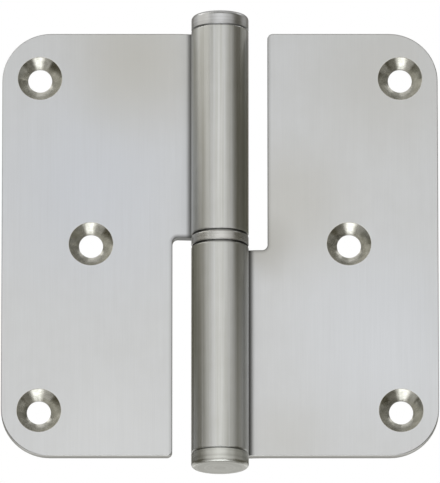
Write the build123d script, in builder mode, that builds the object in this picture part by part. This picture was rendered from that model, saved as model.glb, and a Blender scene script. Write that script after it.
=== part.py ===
"""Paumelle (lift-off) hinge in satin stainless steel, laid open flat.

Frame: the origin is on the pin axis at mid-height, +Z runs up the pin, +X to the right
of the open hinge and -Y out of the face that carries the countersinks.
All sizes are in millimetres.
"""
import os
from math import acos, atan2, cos, degrees, hypot, radians, sin

from build123d import *

# Sheet and leaf outline
leaf_length = 89.0
axis_to_edge = 44.5
sheet = 2.5
corner_radius = 10.0
notch_edge = 9.7
small_corner = 1.1
front_rounding = 0.2
back_rounding = 0.3

# Rolled knuckle
bore_radius = 3.35
face_offset = 1.75
bend_start = 9.4
seam_gap = 0.15

# Screw holes
hole_radius = 2.45
sink_radius = 4.5
sink_angle = 90.0
hole_pitch = 70.0
outer_hole = 36.8
inner_hole = 26.3
sink_edge_break = 0.12

# Pin, bearing ring and end caps
ring_height = 2.6
ring_rounding = 0.3
ring_neck_height = 0.3
ring_neck_depth = 0.5
running_clearance = 0.05
pin_top_gap = 2.5
pin_foot_gap = 0.5
pin_lead = 1.2
cap_height = 3.0
cap_rounding = 0.8
cap_groove = 0.2
spigot_length = 6.0
spigot_lead = 0.6

# Values that follow from the sizes above
barrel_radius = bore_radius + sheet
half_length = leaf_length / 2
half_ring = ring_height / 2
mid_radius = bore_radius + sheet / 2
mid_offset = face_offset + sheet / 2
bend_radius = (bend_start**2 / (mid_radius - mid_offset) - mid_radius - mid_offset) / 2
bend_front = bend_radius + sheet / 2
bend_back = bend_radius - sheet / 2
bend_centre = (-bend_start, mid_offset + bend_radius)
bend_reach = hypot(bend_centre[0], bend_centre[1])
roll_start = degrees(atan2(bend_centre[1], bend_centre[0]))
seam_reach = bend_front + seam_gap
seam_cosine = (barrel_radius**2 + bend_reach**2 - seam_reach**2) / (2 * barrel_radius * bend_reach)
roll_end = roll_start + degrees(acos(seam_cosine)) - 360
roll_sweep = roll_end - roll_start
bend_sweep = roll_start - 90
roll_lip = (cos(radians(roll_end)), sin(radians(roll_end)))
front_plane = Plane(origin=(0, face_offset, 0), x_dir=(1, 0, 0), z_dir=(0, -1, 0))

os.makedirs("parts", exist_ok=True)

# Door leaf: one sheet whose inner strip is rolled around the pin as the upper knuckle
with BuildPart() as door_leaf:
    with BuildSketch(Plane.XY.offset(-half_length)):
        with BuildLine():
            Line((-axis_to_edge, face_offset), (-bend_start, face_offset))
            CenterArc(bend_centre, bend_front, -90, bend_sweep)
            CenterArc((0, 0), bore_radius, roll_start, roll_sweep)
            Line(
                (bore_radius * roll_lip[0], bore_radius * roll_lip[1]),
                (barrel_radius * roll_lip[0], barrel_radius * roll_lip[1]),
            )
            CenterArc((0, 0), barrel_radius, roll_end, -roll_sweep)
            CenterArc(bend_centre, bend_back, roll_start - 180, -bend_sweep)
            Line((-bend_start, face_offset + sheet), (-axis_to_edge, face_offset + sheet))
            Line((-axis_to_edge, face_offset + sheet), (-axis_to_edge, face_offset))
        make_face()
    extrude(amount=leaf_length)

    # The outline seen from the front: two large corners and the notch that clears the other knuckle
    with BuildSketch(Plane.XZ) as outline:
        with BuildLine():
            Polyline(
                (-axis_to_edge, -half_length),
                (-notch_edge, -half_length),
                (-notch_edge, half_ring),
                (barrel_radius + 1, half_ring),
                (barrel_radius + 1, half_length),
                (-axis_to_edge, half_length),
                close=True,
            )
        make_face()
        fillet(outline.vertices().group_by(Axis.X)[0], radius=corner_radius)
        fillet(outline.vertices().filter_by(lambda v: abs(v.X + notch_edge) < 0.01), radius=small_corner)
    extrude(amount=2 * barrel_radius, both=True, mode=Mode.INTERSECT)

    # Both edges of the sheet are lightly rounded, the back one a little more
    front_face = door_leaf.faces().filter_by(Axis.Y).sort_by(Axis.Y)[0]
    front_edges = front_face.edges().filter_by(lambda e: abs(e.center().X + bend_start) > 0.01)
    fillet(front_edges, radius=front_rounding)
    back_face = door_leaf.faces().filter_by(Axis.Y).sort_by(Axis.Y)[-1]
    back_edges = back_face.edges().filter_by(lambda e: abs(e.center().X + bend_start) > 0.01)
    fillet(back_edges, radius=back_rounding)

    # Three countersunk screw holes, the middle one set in towards the pin
    with Locations(front_plane):
        with Locations(
            (-outer_hole, hole_pitch / 2),
            (-outer_hole, -hole_pitch / 2),
            (-inner_hole, 0),
        ):
            CounterSinkHole(
                radius=hole_radius,
                counter_sink_radius=sink_radius,
                counter_sink_angle=sink_angle,
            )
    sink_circles = door_leaf.edges().filter_by(GeomType.CIRCLE)
    sink_rims = sink_circles.filter_by(lambda e: abs(e.radius - sink_radius) < 0.01)
    fillet(sink_rims, radius=sink_edge_break)
door_leaf.part.label = "door_leaf"
export_step(door_leaf.part, "parts/door_leaf.step")

# Frame leaf: the same stamping turned half a turn in its own plane, so its knuckle is the lower one
with BuildPart() as frame_leaf:
    add(door_leaf.part.rotate(Axis.Y, 180))
frame_leaf.part.label = "frame_leaf"
export_step(frame_leaf.part, "parts/frame_leaf.step")

# Hinge pin: its lower half is pressed into the frame leaf, its upper half runs in the door leaf
with BuildPart() as hinge_pin:
    with BuildSketch(Plane.XZ):
        with BuildLine():
            Polyline(
                (0, -half_length + spigot_length + pin_foot_gap),
                (bore_radius - spigot_lead, -half_length + spigot_length + pin_foot_gap),
                (bore_radius, -half_length + spigot_length + pin_foot_gap + spigot_lead),
                (bore_radius, -half_ring - front_rounding),
                (bore_radius - running_clearance, -half_ring - front_rounding),
                (bore_radius - running_clearance, half_length - spigot_length - pin_top_gap - pin_lead),
                (bore_radius - pin_lead, half_length - spigot_length - pin_top_gap),
                (0, half_length - spigot_length - pin_top_gap),
                close=True,
            )
        make_face()
    revolve(axis=Axis.Z)
hinge_pin.part.label = "hinge_pin"
export_step(hinge_pin.part, "parts/hinge_pin.step")

# Bearing ring: loose on the pin between the two knuckles and as wide as they are. A shallow
# neck at each end keeps its rim clear of the knuckle rims and shows as a dark joint line
with BuildPart() as bearing_ring:
    with BuildSketch(Plane.XZ):
        with BuildLine():
            Polyline(
                (bore_radius, -half_ring),
                (barrel_radius - ring_neck_depth, -half_ring),
                (barrel_radius - ring_neck_depth, -half_ring + ring_neck_height),
                (barrel_radius, -half_ring + ring_neck_height),
                (barrel_radius, half_ring - ring_neck_height),
                (barrel_radius - ring_neck_depth, half_ring - ring_neck_height),
                (barrel_radius - ring_neck_depth, half_ring),
                (bore_radius, half_ring),
                close=True,
            )
        make_face()
    revolve(axis=Axis.Z)
    outer_rims = bearing_ring.edges().filter_by(GeomType.CIRCLE).group_by(SortBy.RADIUS)[-1]
    fillet(outer_rims, radius=ring_rounding)
bearing_ring.part.label = "bearing_ring"
export_step(bearing_ring.part, "parts/bearing_ring.step")

# Top cap: a flat turned head on the knuckle end, held by a spigot pressed into the bore
with BuildPart() as top_cap:
    with BuildSketch(Plane.XZ):
        with BuildLine():
            Polyline(
                (0, half_length - spigot_length),
                (bore_radius - spigot_lead, half_length - spigot_length),
                (bore_radius, half_length - spigot_length + spigot_lead),
                (bore_radius, half_length),
                (barrel_radius - cap_groove, half_length),
                (barrel_radius, half_length + cap_groove),
                (barrel_radius, half_length + cap_height),
                (0, half_length + cap_height),
                close=True,
            )
        make_face()
    revolve(axis=Axis.Z)
    cap_rim = top_cap.edges().filter_by(GeomType.CIRCLE).group_by(Axis.Z)[-1]
    fillet(cap_rim, radius=cap_rounding)
top_cap.part.label = "top_cap"
export_step(top_cap.part, "parts/top_cap.step")

# Bottom cap: the same cap turned over for the lower end
with BuildPart() as bottom_cap:
    add(top_cap.part.rotate(Axis.Y, 180))
bottom_cap.part.label = "bottom_cap"
export_step(bottom_cap.part, "parts/bottom_cap.step")
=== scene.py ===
# %% [markdown]
# # A lift-off door hinge in satin stainless steel
#
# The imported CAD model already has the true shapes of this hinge: two leaves, each punched
# from sheet and rolled into a knuckle, a bearing ring between the knuckles, a hidden pin and
# two turned caps. Nothing has to be modelled here, so this lesson is about looks. A metal has
# hardly any colour of its own. What we see is a blurred picture of the room, so half of the
# work is the finish and the other half is the light.

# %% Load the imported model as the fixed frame
import math
from types import SimpleNamespace

import bpy
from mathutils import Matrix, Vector

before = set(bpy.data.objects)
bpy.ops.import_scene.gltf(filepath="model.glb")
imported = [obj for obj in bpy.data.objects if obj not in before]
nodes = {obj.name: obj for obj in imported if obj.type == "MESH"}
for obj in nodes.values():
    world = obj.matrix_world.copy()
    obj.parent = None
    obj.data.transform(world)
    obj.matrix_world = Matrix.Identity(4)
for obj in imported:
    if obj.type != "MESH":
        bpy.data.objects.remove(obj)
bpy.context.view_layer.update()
mm = 0.001
print("pieces:", sorted(nodes))

# %% [markdown]
# ## Tools for the finishes
#
# A finish could be a painted image on a UV map, but an image is soft up close and has to be
# unwrapped. Here every finish is a tree of nodes that reads Object coordinates, in metres and
# fixed to the piece, so the grain goes with a leaf when the leaf swings. The first helpers add
# a node, link what is given to it and hand back its output. The next ones name the handful of
# nodes that the finishes are built from.


# %% Helpers that add nodes
def new_finish(name):
    finish = bpy.data.materials.new(name)
    finish.use_nodes = True
    tree = finish.node_tree
    shader = tree.nodes["Principled BSDF"]
    shader.inputs["Metallic"].default_value = 1.0
    return finish, tree, shader


def add_node(tree, kind, values=None, **settings):
    node = tree.nodes.new(kind)
    for key, value in settings.items():
        setattr(node, key, value)
    for socket, value in (values or {}).items():
        if isinstance(value, bpy.types.NodeSocket):
            tree.links.new(value, node.inputs[socket])
        else:
            node.inputs[socket].default_value = value
    return node


def maths(tree, operation, a, b=0.0, c=0.0, clamp=False):
    node = add_node(tree, "ShaderNodeMath", {0: a, 1: b, 2: c}, operation=operation, use_clamp=clamp)
    return node.outputs[0]


def times(tree, *factors):
    product = factors[0]
    for factor in factors[1:]:
        product = maths(tree, "MULTIPLY", product, factor)
    return product


def weighted_sum(tree, *parts):
    total = 0.0
    for value, weight in parts:
        total = maths(tree, "MULTIPLY_ADD", value, weight, total)
    return total


print("materials on the plain model:", sorted(plain.name for plain in bpy.data.materials))

# %% [markdown]
# Most masks below are a ramp: a value such as the height or the distance from the pin's axis
# goes in, and between two limits the mask rises from 0 to 1 or falls from 1 to 0. A Map Range
# node does this, either straight or eased at both ends.

# %% Helpers for masks, distances and mixes
rising, falling = (0.0, 1.0), (1.0, 0.0)


def ramp(tree, value, limits, result=rising, eased=False):
    sockets = {"Value": value}
    sockets["From Min"], sockets["From Max"] = limits
    sockets["To Min"], sockets["To Max"] = result
    kind = "SMOOTHSTEP" if eased else "LINEAR"
    return add_node(tree, "ShaderNodeMapRange", sockets, interpolation_type=kind).outputs["Result"]


def join(tree, x=0.0, y=0.0, z=0.0):
    return add_node(tree, "ShaderNodeCombineXYZ", {0: x, 1: y, 2: z}).outputs[0]


def length(tree, vector):
    return add_node(tree, "ShaderNodeVectorMath", {0: vector}, operation="LENGTH").outputs["Value"]


def distance(tree, vector, point):
    node = add_node(tree, "ShaderNodeVectorMath", {0: vector, 1: point}, operation="DISTANCE")
    return node.outputs["Value"]


def mix_colours(tree, factor, a, b):
    return add_node(tree, "ShaderNodeMix", {0: factor, 6: a, 7: b}, data_type="RGBA").outputs[2]


def mix_values(tree, factor, a, b):
    return add_node(tree, "ShaderNodeMix", {0: factor, 2: a, 3: b}, data_type="FLOAT").outputs[0]


print("a mask rises as", rising, "or falls as", falling)

# %% [markdown]
# A finish needs to know where on the hinge a point lies. This helper splits the Object
# coordinates once and adds three measures that suit a hinge: the distance from the pin's
# axis, the height above or below the middle, and the distance out along the leaf.

# %% Helper that reads the place on the hinge
def read_spot(tree, side=1):
    place = add_node(tree, "ShaderNodeTexCoord").outputs["Object"]
    x, y, z = add_node(tree, "ShaderNodeSeparateXYZ", {0: place}).outputs
    return SimpleNamespace(
        place=place,
        x=x,
        y=y,
        z=z,
        outward=maths(tree, "MULTIPLY", x, side),
        height=maths(tree, "ABSOLUTE", z),
        radius=length(tree, join(tree, x, y)),
    )


print("a finish reads place, x, y, z, outward, height and radius, in metres")

# %% [markdown]
# ## Grain of the sheet
#
# The leaves are stainless sheet that went under a fine abrasive belt. The belt ran along the
# pin, so its scratches are long in Z and only a tenth of a millimetre wide. Scratches could be
# drawn one by one as curves, but a noise that is squeezed in X and Y and stretched in Z gives
# thousands of them, on the flat faces and on the rolled knuckle alike. Wider streaks, a slow
# cloud and a fine mottling keep the sheet from looking even.

# %% Grain of the sheet
grain_kinds = {
    # name: waves per metre in X, Y and Z, detail, shift of the pattern
    "scratches": ((9000, 9000, 70), 4.0, (0, 0, 0)),
    "streaks": ((1100, 1100, 14), 3.0, (3.1, 0.7, 1.9)),
    "fine_streaks": ((2600, 2600, 20), 2.0, (1.3, 2.7, 0.4)),
    "clouds": ((30, 30, 24), 2.0, (0.3, 5.2, 2.2)),
    "mottle": ((320, 320, 240), 2.0, (4.4, 0.6, 3.0)),
}


def stretched_noise(tree, place, waves, detail, shift):
    mapping = add_node(tree, "ShaderNodeMapping", {"Vector": place, "Scale": waves, "Location": shift})
    sockets = {"Vector": mapping.outputs[0], "Scale": 1.0, "Detail": detail}
    return add_node(tree, "ShaderNodeTexNoise", sockets).outputs["Fac"]


def belt_grain(tree, place):
    return SimpleNamespace(
        **{name: stretched_noise(tree, place, *kind) for name, kind in grain_kinds.items()}
    )


print("kinds of grain:", len(grain_kinds))

# %% [markdown]
# ## Tone of the flat leaves
#
# Real satin sheet is never one grey. Where the belt pressed harder it is a little darker and
# warmer, elsewhere lighter or faintly blue. Noise alone puts such patches anywhere, so a few
# soft round ones are placed on each leaf and the cloud noise bends their borders. Each patch
# is the distance from its centre, eased out to nothing at its reach. One dark patch on the
# frame leaf, beside its knuckle at the notch, is painted shade.

# %% Tone of the flat leaves
steel_light, steel_dark = (0.612, 0.625, 0.642, 1), (0.576, 0.585, 0.596, 1)
patch_light, patch_dark = (0.680, 0.694, 0.712, 1), (0.492, 0.484, 0.448, 1)
# The dull patch colour is painted shade, used once beside the frame leaf's knuckle.
patch_blue, patch_shade = (0.586, 0.611, 0.664, 1), (0.400, 0.392, 0.362, 1)
grain_dark = (0.470, 0.476, 0.484, 1)
tone_limits = (0.35, 0.65)
scratch_limits, scratch_share = (0.3, 0.7), (0.0, 0.16)
border_wander = 16 * mm
door_patches = (
    # x, z and reach in mm, strength, colour
    (-28.0, 12.0, 36.0, 0.85, patch_blue),
    (-17.5, 39.0, 21.5, 0.68, patch_dark),
    (-23.0, -42.0, 22.0, 0.34, patch_light),
)
frame_patches = (
    (34.0, -18.0, 26.0, 0.75, patch_blue),
    (33.0, -20.0, 30.0, 0.40, patch_light),
    (13.0, 9.0, 20.0, 0.50, patch_dark),
    (32.0, 36.0, 24.0, 0.38, patch_dark),
    (14.0, -42.0, 12.0, 0.34, patch_dark),
    # This dull patch is painted shade beside the knuckle at the notch.
    (7.5, -1.0, 8.0, 0.80, patch_shade),
)


def flat_colour(tree, spot, grain, patches):
    tone = weighted_sum(tree, (grain.streaks, 0.08), (grain.clouds, 0.62), (grain.mottle, 0.30))
    colour = mix_colours(tree, ramp(tree, tone, tone_limits), steel_dark, steel_light)
    wander = maths(tree, "MULTIPLY_ADD", grain.clouds, border_wander, -border_wander / 2)
    for x, z, reach, strength, patch_colour in patches:
        gap = maths(tree, "ADD", distance(tree, spot.place, (x * mm, 0, z * mm)), wander)
        amount = ramp(tree, gap, (0.0, reach * mm), (strength, 0.0), eased=True)
        colour = mix_colours(tree, amount, colour, patch_colour)
    return mix_colours(tree, ramp(tree, grain.scratches, scratch_limits, scratch_share), colour, grain_dark)


print("patches on the leaves:", len(door_patches) + len(frame_patches))

# %% [markdown]
# ## Tone of the rolled knuckles
#
# Rolling stretches the outside of the sheet and opens its grain, so the knuckles show
# stronger streaks along the pin than the flat leaves. The same noises serve, with more weight
# on the streaks and with two greys that lie further apart. Where the sheet meets its own roll
# the crevice lies in shade, and that shade is painted in, nearly black. Two masks find it: one
# on the sheet beside the roll, one on the lip of the roll. The roll's free flank, on the side
# away from its leaf, gets painted shade too, dark olive and strongest towards the ring.

# %% Tone of the rolled knuckles
roll_light, roll_dark = (0.684, 0.694, 0.700, 1), (0.498, 0.502, 0.476, 1)
# The corner colour is painted shade, for the crevice where the sheet meets its roll.
crevice_shade_dark = (0.070, 0.070, 0.065, 1)
corner_share_door, corner_share_frame = 0.55, 0.80
roll_limits = (5.9 * mm, 6.3 * mm)
roll_skin = (5.88 * mm, 5.92 * mm)
corner_limits, corner_back = (6.3 * mm, 7.4 * mm), (3.2 * mm, 3.6 * mm)
lip_limits, lip_depth = (4.8 * mm, 5.8 * mm), (-2.2 * mm, -0.4 * mm)
lip_share = (0.0, 0.6)
# The flank colour is painted shade, dark olive, for the roll's free flank.
flank_shade_dark = (0.170, 0.150, 0.010, 1)
flank_limits, flank_share, flank_fade = (-5.6 * mm, -3.2 * mm), (0.50, 0.0), (24 * mm, 42 * mm)


def roll_colour(tree, grain):
    tone = weighted_sum(tree, (grain.streaks, 0.55), (grain.fine_streaks, 0.35), (grain.mottle, 0.10))
    return mix_colours(tree, ramp(tree, tone, tone_limits), roll_dark, roll_light)


# Painted shade in the crevice beside the roll and on the roll's lip.
def painted_crevice_shade(tree, spot, side):
    beside_roll = times(
        tree,
        ramp(tree, spot.radius, corner_limits, falling, eased=True),
        ramp(tree, spot.y, corner_back, falling),
        ramp(tree, spot.radius, roll_skin),
    )
    on_lip = times(
        tree,
        ramp(tree, spot.outward, lip_limits),
        ramp(tree, spot.y, lip_depth, lip_share, eased=True),
        ramp(tree, spot.radius, roll_skin, falling),
    )
    corner = maths(tree, "ADD", beside_roll, on_lip, clamp=True)
    return maths(tree, "MULTIPLY", corner, corner_share_door if side < 0 else corner_share_frame)


# Painted shade on the flank away from the leaf, strongest towards the ring.
def painted_flank_shade(tree, spot):
    away_from_leaf = ramp(tree, spot.outward, flank_limits, flank_share)
    return times(tree, away_from_leaf, ramp(tree, spot.height, flank_fade, falling))


# The corner's darkening is painted shade.
print("corner beside the roll is dulled by", corner_share_door, "and", corner_share_frame)

# %% [markdown]
# ## Joints between ring, caps and knuckles
#
# The ring has a shallow neck at each end, and the caps a small chamfer. The joints read as dark
# lines, from grease in the grooves and from shade deep in the gap. The grooves here are too
# shallow to hold that shade, so it is painted: a mask by distance from the axis darkens only
# what lies below the outer skin, near the heights of the joints.

# %% Joints
# The joint colour is grease with painted shade, for the gaps between ring, caps and knuckles.
grease_and_shade_dark = (0.050, 0.050, 0.046, 1)
groove_floor, groove_lip = (5.2 * mm, 5.4 * mm), (5.64 * mm, 5.83 * mm)
groove_share = (0.9, 0.0)
ring_reach, cap_reach = (2.0 * mm, 2.5 * mm), (45.2 * mm, 45.6 * mm)
cap_share = 0.06


# Grease with painted shade in the grooves at the joints.
def joint_grease_and_shade(tree, spot):
    in_groove = times(
        tree,
        ramp(tree, spot.radius, groove_floor),
        ramp(tree, spot.radius, groove_lip, groove_share, eased=True),
    )
    at_ring = ramp(tree, spot.height, ring_reach, falling)
    at_cap = times(tree, ramp(tree, spot.height, cap_reach, falling), cap_share)
    return times(tree, in_groove, maths(tree, "MAXIMUM", at_ring, at_cap))


print("joint lines at heights up to", round(cap_reach[1] / mm, 1), "mm")

# %% [markdown]
# ## Punched edges
#
# A punch shears the front part of an edge smoothly and tears the rest, so the narrow sides of
# a leaf have a light band towards the front and a darker, rougher one towards the back. The
# mask takes what lies between the two faces, outside the countersinks. On the flat leaf that
# is enough. Near the bend the sheet leaves its plane, so there the two end faces are found by
# their height instead.

# %% Punched edges
sheared, torn = (0.560, 0.560, 0.550, 1), (0.440, 0.440, 0.425, 1)
sheared_rough, torn_rough = 0.30, 0.45
front_skin, back_skin = (1.88 * mm, 1.94 * mm), (4.00 * mm, 4.08 * mm)
flat_start, end_level = (9.3 * mm, 9.4 * mm), (44.34 * mm, 44.42 * mm)
beyond_roll = (6.0 * mm, 6.2 * mm)
tear_start = (2.6 * mm, 3.1 * mm)
beyond_sink = (4.75 * mm, 4.85 * mm)


def punched_edge(tree, spot, hole_gap):
    on_side = times(
        tree,
        ramp(tree, spot.y, front_skin),
        ramp(tree, spot.y, back_skin, falling),
        ramp(tree, spot.outward, flat_start),
        ramp(tree, hole_gap, beyond_sink),
    )
    on_end = times(tree, ramp(tree, spot.height, end_level), ramp(tree, spot.radius, beyond_roll))
    return maths(tree, "MAXIMUM", on_side, on_end)


print("sheared band is", round((tear_start[0] - front_skin[0]) / mm, 2), "mm wide")

# %% [markdown]
# ## Shade at the notch
#
# The notch in each leaf clears the other leaf's knuckle. Its edge lies close to the barrel,
# in shade, and that shade is painted in as a dark band along the edge. The distance from the
# notch could be found with a baked mask, but the notch is two straight edges with a rounded
# corner, and for that shape the distance is simple: clamp both offsets from the corner's centre
# at zero, take the length and subtract the corner's radius. The level edge is painted darker
# than the upright one, and more so on the door leaf, whose notch looks down.

# %% Shade at the notch
# The notch colour is painted shade along the notch's edge.
notch_shade_dark = (0.100, 0.100, 0.095, 1)
notch_level, notch_edge, notch_corner = 1.3 * mm, 9.7 * mm, 1.1 * mm
notch_fade, notch_back = (0.05 * mm, 0.90 * mm), (4.6 * mm, 5.0 * mm)
upright_share, level_share_door, level_share_frame = 0.30, 0.75, 0.40
tiny = 0.1 * mm


def notch_shade(tree, spot, side):
    past_edge = maths(tree, "SUBTRACT", spot.outward, notch_edge - notch_corner)
    past_level = maths(tree, "SUBTRACT", times(tree, spot.z, -side), notch_level - notch_corner)
    past_edge, past_level = (maths(tree, "MAXIMUM", past, 0.0) for past in (past_edge, past_level))
    reach = length(tree, join(tree, past_edge, past_level))
    levelness = maths(tree, "DIVIDE", past_level, maths(tree, "MAXIMUM", reach, tiny))
    level_share = level_share_door if side < 0 else level_share_frame
    return times(
        tree,
        ramp(tree, maths(tree, "SUBTRACT", reach, notch_corner), notch_fade, falling, eased=True),
        ramp(tree, levelness, rising, (upright_share, level_share)),
        ramp(tree, spot.y, notch_back, falling),
        ramp(tree, spot.radius, roll_limits),
    )


print("notch corner radius in mm:", round(notch_corner / mm, 2))

# %% [markdown]
# ## Countersinks
#
# The countersinks were cut after the sheet was finished. Inside them the belt grain gives way
# to fine rings from the cutter, the metal is shinier and a little warm. The rings are a sine
# of the distance from the nearest hole, broken up by a noise for the cutter's chatter. The
# distances to the three holes of a leaf are taken and the smallest one is kept.

# %% Countersinks
hole_places = ((36.8 * mm, 35.0 * mm), (36.8 * mm, -35.0 * mm), (26.3 * mm, 0.0))
cut_light, cut_dark = (0.620, 0.612, 0.570, 1), (0.400, 0.394, 0.350, 1)
sink_rim, sink_back = (4.45 * mm, 4.65 * mm), (3.95 * mm, 4.10 * mm)
ring_pitch, ring_weight, ring_height = 0.28 * mm, 0.05, 0.3
chatter_kind = ((750, 750, 750), 3.0, (6.1, 2.2, 0.9))
chatter_limits = (0.30, 0.70)
cut_rough = 0.20


def nearest_hole(tree, spot, side):
    flat = join(tree, spot.x, 0.0, spot.z)
    gaps = [distance(tree, flat, (side * x, 0, z)) for x, z in hole_places]
    nearest = gaps[0]
    for gap in gaps[1:]:
        nearest = maths(tree, "MINIMUM", nearest, gap)
    return nearest


def countersink(tree, spot, hole_gap):
    inside = times(tree, ramp(tree, hole_gap, sink_rim, falling), ramp(tree, spot.y, sink_back, falling))
    rings = maths(tree, "SINE", maths(tree, "MULTIPLY", hole_gap, 2 * math.pi / ring_pitch))
    chatter = stretched_noise(tree, spot.place, *chatter_kind)
    tone = ramp(tree, weighted_sum(tree, (rings, ring_weight), (chatter, 1.0)), chatter_limits)
    return inside, mix_colours(tree, tone, cut_dark, cut_light), maths(tree, "MULTIPLY", rings, ring_height)


print("holes on each leaf:", len(hole_places))

# %% [markdown]
# ## The finish of a whole leaf
#
# Now the parts are laid over each other, as coats are: flat tone, roll, painted shade in the
# corner and on the flank, grease and painted shade in the joints, punched edges, painted shade
# at the notch, and countersinks. Roughness follows the same masks.
# The scratches also go into a very shallow bump, enough to break up a highlight in a close-up.

# %% Satin sheet on the leaves
sheet_rough_limits, sheet_rough = (0.6, 1.4), (0.28, 0.35)
bump_depth = 0.02 * mm


def shallow_bump(tree, shader, height, strength):
    sockets = {"Strength": strength, "Distance": bump_depth, "Height": height}
    tree.links.new(add_node(tree, "ShaderNodeBump", sockets).outputs["Normal"], shader.inputs["Normal"])


def satin_sheet(name, side, patches):
    finish, tree, shader = new_finish(name)
    spot = read_spot(tree, side)
    grain = belt_grain(tree, spot.place)
    hole_gap = nearest_hole(tree, spot, side)

    on_roll = ramp(tree, spot.radius, roll_limits, falling)
    colour = mix_colours(tree, on_roll, flat_colour(tree, spot, grain, patches), roll_colour(tree, grain))
    # Painted shade in the crevice and on the free flank, then grease with painted shade in the joints.
    colour = mix_colours(tree, painted_crevice_shade(tree, spot, side), colour, crevice_shade_dark)
    colour = mix_colours(tree, painted_flank_shade(tree, spot), colour, flank_shade_dark)
    colour = mix_colours(tree, joint_grease_and_shade(tree, spot), colour, grease_and_shade_dark)
    on_edge = punched_edge(tree, spot, hole_gap)
    edge_colour = mix_colours(tree, ramp(tree, spot.y, tear_start), sheared, torn)
    colour = mix_colours(tree, on_edge, colour, edge_colour)
    # Painted shade along the notch's edge.
    colour = mix_colours(tree, notch_shade(tree, spot, side), colour, notch_shade_dark)
    in_sink, cut_colour, ring_marks = countersink(tree, spot, hole_gap)
    colour = mix_colours(tree, in_sink, colour, cut_colour)

    rough_tone = maths(tree, "ADD", grain.scratches, grain.clouds)
    rough = ramp(tree, rough_tone, sheet_rough_limits, sheet_rough)
    edge_rough = ramp(tree, spot.y, tear_start, (sheared_rough, torn_rough))
    rough = mix_values(tree, on_edge, rough, edge_rough)
    rough = mix_values(tree, in_sink, rough, cut_rough)

    tree.links.new(colour, shader.inputs["Base Color"])
    tree.links.new(rough, shader.inputs["Roughness"])
    shallow_bump(tree, shader, mix_values(tree, in_sink, grain.scratches, ring_marks), 0.06)
    print("finish", name, "has", len(tree.nodes), "nodes")
    return finish


nodes["door_leaf"].data.materials[0] = satin_sheet("satin_sheet_door", -1, door_patches)
nodes["frame_leaf"].data.materials[0] = satin_sheet("satin_sheet_frame", 1, frame_patches)

# %% [markdown]
# ## Turned steel for the caps, the ring and the pin
#
# Caps, ring and pin come off a lathe, and their marks run round the axis: circles on a flat
# end, hoops on a side. A wave texture could draw them, but it looks drawn. A noise that is
# read by radius and height, not by angle, gives both circles and hoops from one node. A
# slower noise in all three directions breaks them up. The caps' chamfers get painted shade,
# darkened like the joints, because a clean chamfer would show as a light line of reflection.
# Two caps are seldom from one bar, so the top one is a slightly cooler grey and its stains lie
# elsewhere.

# %% Turned steel
top_cap_greys = (0.648, 0.656, 0.674, 1), (0.490, 0.497, 0.502, 1)
bottom_cap_greys = (0.652, 0.658, 0.632, 1), (0.494, 0.499, 0.470, 1)
ring_greys = (0.640, 0.638, 0.625, 1), (0.555, 0.553, 0.540, 1)
pin_greys = (0.620, 0.620, 0.615, 1), (0.560, 0.560, 0.556, 1)
mark_kind = ((7000, 1, 7000), 3.0, (0, 0, 0))
band_kind = ((1300, 1, 1300), 2.0, (1.7, 0.2, 4.4))
stain_waves, stain_detail = (260, 260, 260), 3.0
turned_limits, turned_rough_limits = (0.41, 0.59), (0.6, 1.4)
chamfer_start, chamfer_end = (44.40 * mm, 44.46 * mm), (44.68 * mm, 44.76 * mm)
chamfer_radius, chamfer_share = (5.4 * mm, 5.6 * mm), (0.45, 0.0)


# Painted shade on the caps' chamfers, over their light line of reflection.
def chamfer_shade(tree, spot):
    return times(
        tree,
        ramp(tree, spot.height, chamfer_end, chamfer_share),
        ramp(tree, spot.height, chamfer_start),
        ramp(tree, spot.radius, chamfer_radius),
    )


def turned_steel(name, greys, rough_span, stain_shift=(8.2, 3.3, 1.4)):
    finish, tree, shader = new_finish(name)
    spot = read_spot(tree)
    lathe = join(tree, spot.radius, 0.0, spot.z)
    marks = stretched_noise(tree, lathe, *mark_kind)
    bands = stretched_noise(tree, lathe, *band_kind)
    stains = stretched_noise(tree, spot.place, stain_waves, stain_detail, stain_shift)
    light, dark = greys
    tone = weighted_sum(tree, (bands, 0.6), (stains, 0.4))
    colour = mix_colours(tree, ramp(tree, tone, turned_limits), dark, light)
    # Grease with painted shade in the joints, and painted shade on the chamfers.
    grease_and_shade = maths(tree, "MAXIMUM", joint_grease_and_shade(tree, spot), chamfer_shade(tree, spot))
    colour = mix_colours(tree, grease_and_shade, colour, grease_and_shade_dark)
    rough = ramp(tree, maths(tree, "ADD", marks, stains), turned_rough_limits, rough_span)
    tree.links.new(colour, shader.inputs["Base Color"])
    tree.links.new(rough, shader.inputs["Roughness"])
    shallow_bump(tree, shader, marks, 0.12)
    print("finish", name, "has", len(tree.nodes), "nodes")
    return finish


top_steel = turned_steel("turned_top_cap", top_cap_greys, (0.26, 0.38))
bottom_steel = turned_steel("turned_bottom_cap", bottom_cap_greys, (0.26, 0.38), (9.9, 6.2, 0.8))
nodes["top_cap"].data.materials[0] = top_steel
nodes["bottom_cap"].data.materials[0] = bottom_steel
nodes["bearing_ring"].data.materials[0] = turned_steel("turned_ring", ring_greys, (0.24, 0.34))
nodes["hinge_pin"].data.materials[0] = turned_steel("ground_pin", pin_greys, (0.16, 0.24))

# %% [markdown]
# ## Floor
#
# A hinge is held by its screws and doesn't stand on a table, and here we look at it from
# below. So the plain pale floor lies far down, where no camera gets under it. It is kept out
# of the reflections, because a white floor would fill the dark sides of the knuckles.

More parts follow.
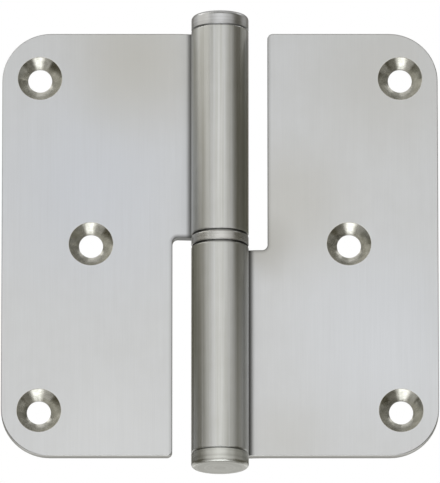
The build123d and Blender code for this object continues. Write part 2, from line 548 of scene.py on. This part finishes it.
# %% Floor
floor_size, floor_level = 60.0, -6.0
bpy.ops.object.select_all(action="DESELECT")
bpy.ops.mesh.primitive_plane_add(size=floor_size, location=(0, 0, floor_level))
floor = bpy.context.object
floor.name = "floor"
pale = bpy.data.materials.new("pale_floor")
pale.use_nodes = True
pale_shader = pale.node_tree.nodes["Principled BSDF"]
pale_shader.inputs["Base Color"].default_value = (0.90, 0.90, 0.90, 1)
pale_shader.inputs["Roughness"].default_value = 0.9
pale_shader.inputs["Specular IOR Level"].default_value = 0.0
floor.data.materials.append(pale)
floor.visible_glossy = False
print("floor at", floor_level, "m")

# %% [markdown]
# ## Room
#
# In a studio, white paper hangs behind a metal part and black cloth at its sides. One world
# does both: it is white where the camera looks straight at it, and a dim warm grey where a
# reflection meets it. The Light Path node tells the two apart. All that is bright in the metal
# then comes from the soft boxes.

# %% Room
dim_grey = (0.086, 0.078, 0.053, 1)
room = bpy.data.worlds.new("studio_room")
bpy.context.scene.world = room
room.use_nodes = True
room_tree = room.node_tree
room_tree.nodes.clear()
rays = add_node(room_tree, "ShaderNodeLightPath")
pale_room = add_node(room_tree, "ShaderNodeBackground", {"Color": (1, 1, 1, 1), "Strength": 1.0})
dim_room = add_node(room_tree, "ShaderNodeBackground", {"Color": dim_grey, "Strength": 1.0})
seen_sockets = {0: rays.outputs["Is Glossy Ray"], 1: pale_room.outputs[0], 2: dim_room.outputs[0]}
seen = add_node(room_tree, "ShaderNodeMixShader", seen_sockets)
add_node(room_tree, "ShaderNodeOutputWorld", {0: seen.outputs[0]})
print("room is dim for reflections:", dim_grey[:3])

# %% [markdown]
# ## Soft boxes
#
# An area lamp is a soft box. Its power is worked out from the brightness that its surface
# should have in a reflection, so boxes of any size can be set by eye.


# %% Helper for a soft box
def soft_box(name, place, aim, width, height, radiance, colour=(1, 1, 1)):
    bpy.ops.object.light_add(type="AREA", location=place)
    lamp = bpy.context.object
    lamp.name = name
    lamp.data.shape = "RECTANGLE"
    lamp.data.size = width
    lamp.data.size_y = height
    lamp.data.energy = radiance * width * height * math.pi
    lamp.data.color = colour
    lamp.visible_camera = False
    lamp.rotation_mode = "QUATERNION"
    lamp.rotation_quaternion = (Vector(aim) - Vector(place)).to_track_quat("-Z", "Y")
    print("soft box", name, "radiance", radiance)


# %% [markdown]
# The flat leaves and the middle of the knuckles mirror what is in front and a little above.
# One box there would end in hard lines on the round knuckles. Four boxes of growing width,
# one behind the other, add up to a box with a bright middle and soft sides, and that is the
# gentle change from light to dark that the knuckles show.

# %% Soft boxes in front
front_top, front_distance, layer_step = 0.33, 0.60, 0.005
front_layers = (
    # width, lower end, radiance
    (0.34, -0.35, 0.22),
    (0.74, -0.45, 0.24),
    (1.52, -0.50, 0.27),
    (2.06, -0.55, 0.33),
)
for step, (width, bottom, radiance) in enumerate(front_layers):
    level, height = (front_top + bottom) / 2, front_top - bottom
    place = (0.0, -front_distance - layer_step * step, level)
    soft_box(f"front_box_{step}", place, (0, 0, level), width, height, radiance)

# %% [markdown]
# A knuckle's flanks mirror the sides of the room, the more so the nearer its outline. On the
# left a warm panel hangs high, so the left flank is light on the upper knuckle and dark on the
# lower one, and a weak panel below it lifts the foot of the lower knuckle again. On the right
# a small panel serves the lower knuckle and another the top of the upper one. The two panels
# behind are seen only by the caps, which stand clear of the leaves.

# %% Soft boxes at the sides
centre = (0, 0, 0)
upper_end, lower_end = (0, 0, 0.047), (0, 0, -0.06)
warm, cool = (1.0, 0.98, 0.93), (0.95, 0.98, 1.0)
soft_box("left_panel", (-0.29, -0.09, 0.238), (0, 0, 0.04), 0.36, 0.274, 0.92, warm)
soft_box("right_panel", (0.16, -0.03, -0.008), centre, 0.20, 0.07, 0.24)
soft_box("left_lower_panel", (-0.356, -0.18, 0.030), lower_end, 0.25, 0.06, 0.38)
soft_box("right_upper_panel", (0.27, -0.27, 0.172), (0, 0, 0.06), 0.16, 0.06, 0.28)
soft_box("left_rim_panel", (-0.544, 0.254, 0.207), upper_end, 0.42, 0.22, 0.48)
soft_box("right_rim_panel", (0.544, 0.254, 0.207), upper_end, 0.42, 0.22, 0.36)

# %% [markdown]
# What lies below shows in the upper walls of the countersinks and on the bottom cap. A bright
# strip draws the white wedge in each countersink and the light rim of the cap. A wider, weaker
# strip and two panels beside it soften the borders of the wedge. The card low behind lights
# the end of the bottom cap, and the back panels serve views from behind.

# %% Soft boxes below and behind
soft_box("low_strip", (0.0, -0.075, -0.32), centre, 0.17, 0.18, 1.42, cool)
soft_box("low_strip_rim", (0.0, -0.077, -0.325), centre, 0.28, 0.22, 0.7)
soft_box("low_front_panel", (0.0, -0.33, -0.42), centre, 0.60, 0.26, 0.32)
soft_box("low_left_panel", (-0.17, -0.08, -0.27), centre, 0.16, 0.24, 0.46)
soft_box("low_right_panel", (0.17, -0.08, -0.27), centre, 0.16, 0.24, 0.13)
soft_box("low_card", (0.0, 0.45, -0.45), centre, 0.60, 0.90, 0.36)
soft_box("low_back_panel", (0.0, 1.00, -0.30), (0, 0, -0.30), 2.80, 0.50, 0.22)
soft_box("back_left_panel", (-0.55, 0.79, -0.35), centre, 0.75, 0.70, 0.50)
soft_box("back_right_panel", (0.55, 0.79, -0.35), centre, 0.75, 0.70, 0.50)
soft_box("high_back_panel", (0.0, 0.85, 0.34), centre, 1.00, 0.55, 0.40)

# %% [markdown]
# The lower walls of the countersinks look up, partly through the hole to what hangs behind
# the leaf. Three panels overhead light them, the left one more widely, because the lower right
# of each countersink is the lightest part. Two smaller ones, lower and further out, reach the
# walls at four and at eight o'clock.

# %% Soft boxes overhead
soft_box("top_panel", (0.0, -0.10, 0.60), centre, 1.00, 1.00, 0.44)
soft_box("high_left_panel", (-0.35, 0.15, 0.58), (-0.35, 0.15, 0), 0.80, 0.28, 0.42)
soft_box("high_right_panel", (0.58, 0.15, 0.58), (0.58, 0.15, 0), 0.56, 0.28, 0.60)
soft_box("left_shoulder_panel", (-0.50, 0.12, 0.44), centre, 0.30, 0.20, 1.0)
soft_box("right_shoulder_panel", (0.50, 0.12, 0.44), centre, 0.30, 0.20, 1.0)

# %% [markdown]
# ## Black card
#
# A countersink of 90 degrees sends light back to where it came from, so after two bounces its
# side walls mirror what stands next to the camera. The left walls are to be dark and the right
# ones are not, so something dark is needed on one side. A dimmer front box would spoil the
# leaves in other views, so a small black card stands before it, hidden from the camera and
# seen only in reflections.

# %% Black card
card_size, card_place = 0.14, (0.082, -0.585, -0.14)
bpy.ops.object.select_all(action="DESELECT")
bpy.ops.mesh.primitive_plane_add(size=card_size, location=card_place, rotation=(math.pi / 2, 0, 0))
card = bpy.context.object
card.name = "black_card"
black = bpy.data.materials.new("black_card")
black.use_nodes = True
black_shader = black.node_tree.nodes["Principled BSDF"]
black_shader.inputs["Base Color"].default_value = (0.02, 0.02, 0.02, 1)
black_shader.inputs["Roughness"].default_value = 1.0
black_shader.inputs["Specular IOR Level"].default_value = 0.0
card.data.materials.append(black)
card.visible_camera = False
print("black card of", card_size, "m beside the camera's line of sight")

# %% [markdown]
# ## Camera
#
# The photograph looks at the open hinge squarely from the front and from a little below, so
# the end of the bottom cap shows and the joints between knuckles and ring bow upwards. A wide
# lens close by would make the upright edges lean. A long lens from far away keeps them nearly
# parallel, and its length follows from the width of the frame at the hinge.

# %% Camera
view_elevation = math.radians(-15.0)
view_distance = 2.5
frame_wide_mm, frame_px_wide, frame_px_high = 89.6, 440, 483
aim_point = Vector((0, 0, 0))
back = Vector((0, -math.cos(view_elevation), math.sin(view_elevation)))
eye = bpy.data.cameras.new("photo_camera")
camera = bpy.data.objects.new("photo_camera", eye)
bpy.context.scene.collection.objects.link(camera)
camera.location = aim_point + back * view_distance
camera.rotation_mode = "QUATERNION"
camera.rotation_quaternion = (-back).to_track_quat("-Z", "Y")
frame_high = frame_wide_mm * mm * frame_px_high / frame_px_wide
eye.sensor_width = 36.0
eye.lens = eye.sensor_width * view_distance / frame_high
eye.dof.use_dof = False
eye.clip_start, eye.clip_end = 0.01, 200
bpy.context.scene.camera = camera
print("lens in mm:", round(eye.lens, 1))

# %% [markdown]
# ## Picture tone
#
# Blender's default view transform greys a white background. The Standard one keeps the white
# of the room white and the greys of the steel as they were set.

# %% Picture tone
picture = bpy.context.scene.view_settings
picture.view_transform = "Standard"
picture.look = "None"
print("view transform:", picture.view_transform)
